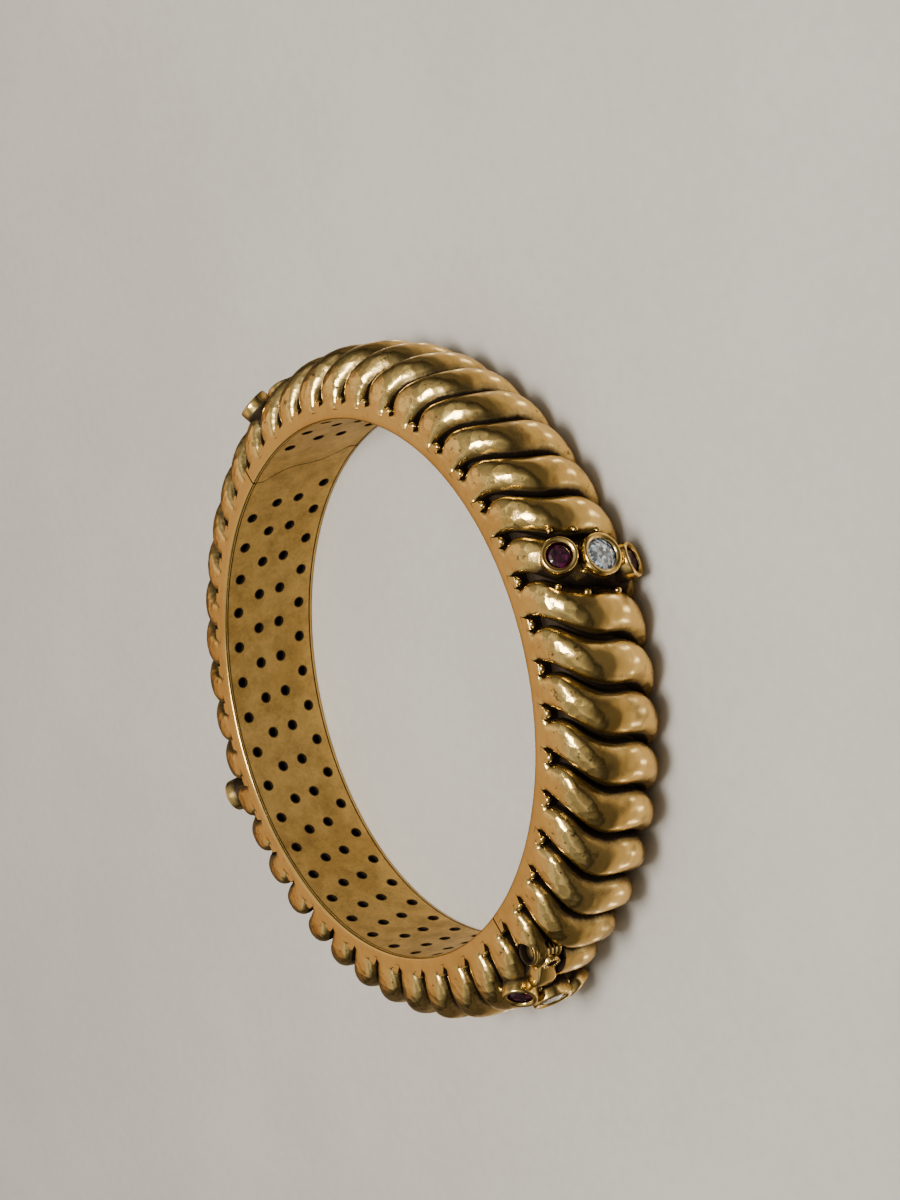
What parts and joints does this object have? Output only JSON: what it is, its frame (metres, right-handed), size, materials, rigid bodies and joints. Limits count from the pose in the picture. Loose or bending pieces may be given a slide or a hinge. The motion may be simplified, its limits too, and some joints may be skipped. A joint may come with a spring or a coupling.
{
  "type": "hinged kada bangle",
  "caption": "Round hollow metal bangle with a domed, obliquely ribbed band, three-stone bezel rows, a pierced lining, a side hinge and a hidden clasp.",
  "frame": {"origin": "centre of the ring, on the flat side face that it rests on", "axes": "+Z along the ring's axis, +X through the hinge seam, -X through the clasp seam"},
  "size_m": [0.0752, 0.0734, 0.012],
  "materials": {
    "gold": "polished",
    "ruby": "polished",
    "diamond": "polished"
  },
  "bodies": {
    "fixed": {"fixed_half": "gold", "hinge_pin": "gold", "ruby_1": "ruby", "ruby_2": "ruby", "ruby_3": "ruby", "ruby_4": "ruby", "diamond_1": "diamond", "diamond_2": "diamond"},
    "gate": {"gate_half": "gold", "clasp_tongue": "gold", "ruby_5": "ruby", "ruby_6": "ruby", "ruby_7": "ruby", "ruby_8": "ruby", "diamond_3": "diamond", "diamond_4": "diamond"}
  },
  "joints": [
    {"name": "opening", "type": "hinge", "parent": "fixed", "child": "gate", "pos_m": [0.03429, 0.00098, 0.006], "axis": [0, 0, 1], "range_deg": [0, 45]}
  ]
}
